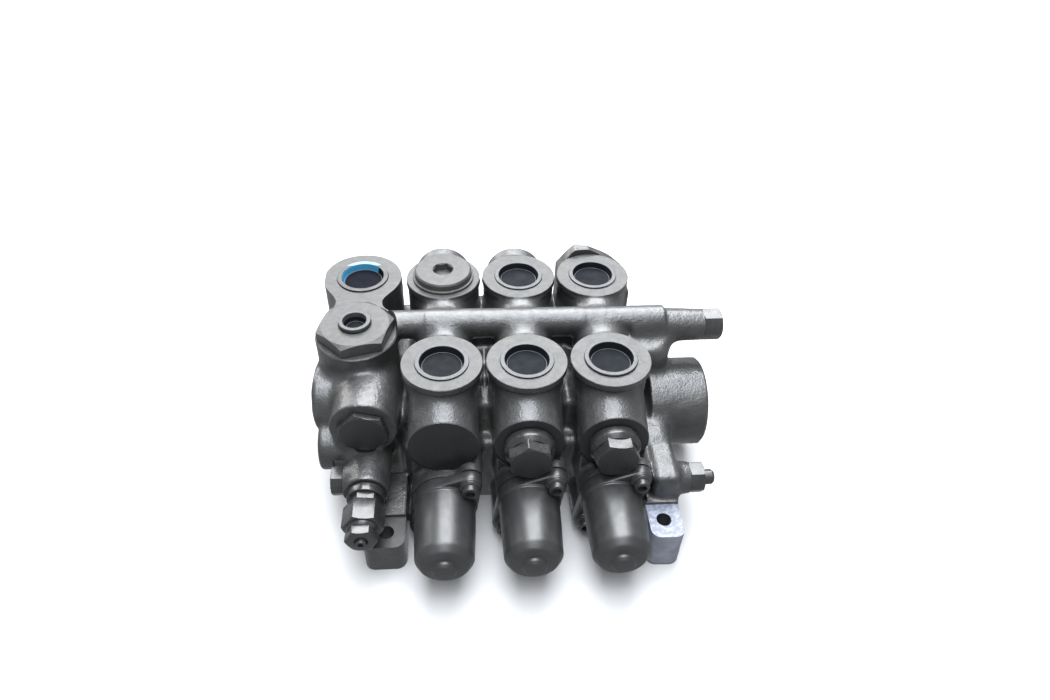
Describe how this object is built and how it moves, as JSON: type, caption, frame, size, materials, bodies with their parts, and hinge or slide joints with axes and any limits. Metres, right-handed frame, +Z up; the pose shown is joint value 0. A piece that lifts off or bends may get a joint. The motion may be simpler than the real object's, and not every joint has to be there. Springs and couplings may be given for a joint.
{
  "type": "hydraulic monoblock valve",
  "caption": "Iron monoblock directional valve with a row of sliding spools, vertical work ports, an inlet section, a relief valve and mounting feet.",
  "frame": {"origin": "underside of the casting, under the middle spool and below the front row of work ports", "axes": "+X along the bank towards the tank port, +Y towards the lever ends of the spools, +Z up out of the work ports"},
  "size_m": [0.257, 0.2565, 0.1056],
  "materials": {
    "painted_iron": "semi-gloss black paint over cast iron",
    "painted_steel": "semi-gloss black paint over turned and hexagon steel",
    "painted_plastic": "plastic under black overspray",
    "blue_plastic": "blue moulded plastic, partly under black overspray",
    "spool_steel": "ground and hard-chromed steel",
    "zinc_steel": "zinc-plated steel",
    "spring_steel": "oiled spring steel"
  },
  "bodies": {
    "casting": {"valve_body": "painted_iron", "spring_seat_inner_1": "zinc_steel", "centring_spring_1": "spring_steel", "spool_cap_1": "painted_iron", "cap_1_screw_1": "painted_steel", "cap_1_screw_2": "painted_steel", "rear_plate_1": "painted_iron", "rear_1_screw_1": "painted_steel", "rear_1_screw_2": "painted_steel", "spring_seat_inner_2": "zinc_steel", "centring_spring_2": "spring_steel", "spool_cap_2": "painted_iron", "cap_2_screw_1": "painted_steel", "cap_2_screw_2": "painted_steel", "rear_plate_2": "painted_iron", "rear_2_screw_1": "painted_steel", "rear_2_screw_2": "painted_steel", "spring_seat_inner_3": "zinc_steel", "centring_spring_3": "spring_steel", "spool_cap_3": "painted_iron", "cap_3_screw_1": "painted_steel", "cap_3_screw_2": "painted_steel", "rear_plate_3": "painted_iron", "rear_3_screw_1": "painted_steel", "rear_3_screw_2": "painted_steel", "front_plug_2": "painted_steel", "load_check_spring_2": "spring_steel", "front_plug_3": "painted_steel", "load_check_spring_3": "spring_steel", "gauge_adapter": "painted_steel", "port_plug_rear_1": "painted_steel", "gallery_plug": "painted_steel", "lower_plug_right": "painted_steel", "lower_plug_left": "painted_steel", "inlet_front_plug": "painted_steel", "relief_body": "painted_steel", "relief_spring": "spring_steel"},
    "spool_unit_1": {"spool_1": "spool_steel", "spool_bolt_1": "zinc_steel", "spring_seat_outer_1": "zinc_steel"},
    "spool_unit_2": {"spool_2": "spool_steel", "spool_bolt_2": "zinc_steel", "spring_seat_outer_2": "zinc_steel"},
    "spool_unit_3": {"spool_3": "spool_steel", "spool_bolt_3": "zinc_steel", "spring_seat_outer_3": "zinc_steel"},
    "relief_screw_unit": {"relief_screw": "painted_steel"},
    "relief_nut_unit": {"relief_lock_nut": "painted_steel"},
    "relief_poppet_unit": {"relief_poppet": "spool_steel"},
    "load_check_unit_2": {"load_check_poppet_2": "spool_steel"},
    "load_check_unit_3": {"load_check_poppet_3": "spool_steel"},
    "port_cap_front_1_unit": {"port_cap_front_1": "painted_plastic"},
    "port_cap_front_2_unit": {"port_cap_front_2": "painted_plastic"},
    "port_cap_front_3_unit": {"port_cap_front_3": "painted_plastic"},
    "port_cap_rear_2_unit": {"port_cap_rear_2": "painted_plastic"},
    "port_cap_rear_3_unit": {"port_cap_rear_3": "painted_plastic"},
    "port_cap_inlet_unit": {"port_cap_inlet": "blue_plastic"},
    "port_cap_gauge_unit": {"port_cap_gauge": "painted_plastic"},
    "port_cap_tank_unit": {"port_cap_tank": "painted_plastic"}
  },
  "joints": [
    {"name": "spool_slide_1", "type": "slide", "parent": "casting", "child": "spool_unit_1", "axis": [0, 1, 0], "range_m": [-0.007, 0.007], "stiffness_N_per_m": 5000, "deforming": ["centring_spring_1"]},
    {"name": "spool_slide_2", "type": "slide", "parent": "casting", "child": "spool_unit_2", "axis": [0, 1, 0], "range_m": [-0.007, 0.007], "stiffness_N_per_m": 5000, "deforming": ["centring_spring_2"]},
    {"name": "spool_slide_3", "type": "slide", "parent": "casting", "child": "spool_unit_3", "axis": [0, 1, 0], "range_m": [-0.007, 0.007], "stiffness_N_per_m": 5000, "deforming": ["centring_spring_3"]},
    {"name": "relief_screw_turn", "type": "hinge", "parent": "casting", "child": "relief_screw_unit", "pos_m": [-0.096, -0.0815, 0.037], "axis": [0, -1, 0], "range_deg": [-180, 180]},
    {"name": "relief_nut_turn", "type": "hinge", "parent": "casting", "child": "relief_nut_unit", "pos_m": [-0.096, -0.077, 0.037], "axis": [0, -1, 0], "range_deg": [0, 180]},
    {"name": "relief_poppet_lift", "type": "slide", "parent": "casting", "child": "relief_poppet_unit", "axis": [0, -1, 0], "range_m": [0, 0.003], "stiffness_N_per_m": 2000, "springref_m": -0.004, "deforming": ["relief_spring"]},
    {"name": "load_check_lift_2", "type": "slide", "parent": "casting", "child": "load_check_unit_2", "axis": [0, -1, 0], "range_m": [0, 0.004], "stiffness_N_per_m": 500, "springref_m": -0.004, "deforming": ["load_check_spring_2"]},
    {"name": "load_check_lift_3", "type": "slide", "parent": "casting", "child": "load_check_unit_3", "axis": [0, -1, 0], "range_m": [0, 0.004], "stiffness_N_per_m": 500, "springref_m": -0.004, "deforming": ["load_check_spring_3"]},
    {"name": "front_1_cap_pull", "type": "slide", "parent": "casting", "child": "port_cap_front_1_unit", "axis": [0, 0, 1], "range_m": [0, 0.025]},
    {"name": "front_2_cap_pull", "type": "slide", "parent": "casting", "child": "port_cap_front_2_unit", "axis": [0, 0, 1], "range_m": [0, 0.025]},
    {"name": "front_3_cap_pull", "type": "slide", "parent": "casting", "child": "port_cap_front_3_unit", "axis": [0, 0, 1], "range_m": [0, 0.025]},
    {"name": "rear_2_cap_pull", "type": "slide", "parent": "casting", "child": "port_cap_rear_2_unit", "axis": [0, 0, 1], "range_m": [0, 0.025]},
    {"name": "rear_3_cap_pull", "type": "slide", "parent": "casting", "child": "port_cap_rear_3_unit", "axis": [0, 0, 1], "range_m": [0, 0.025]},
    {"name": "inlet_cap_pull", "type": "slide", "parent": "casting", "child": "port_cap_inlet_unit", "axis": [0, 0, 1], "range_m": [0, 0.025]},
    {"name": "gauge_cap_pull", "type": "slide", "parent": "casting", "child": "port_cap_gauge_unit", "axis": [0, 0, 1], "range_m": [0, 0.025]},
    {"name": "tank_cap_pull", "type": "slide", "parent": "casting", "child": "port_cap_tank_unit", "axis": [1, 0, 0], "range_m": [0, 0.025]}
  ]
}
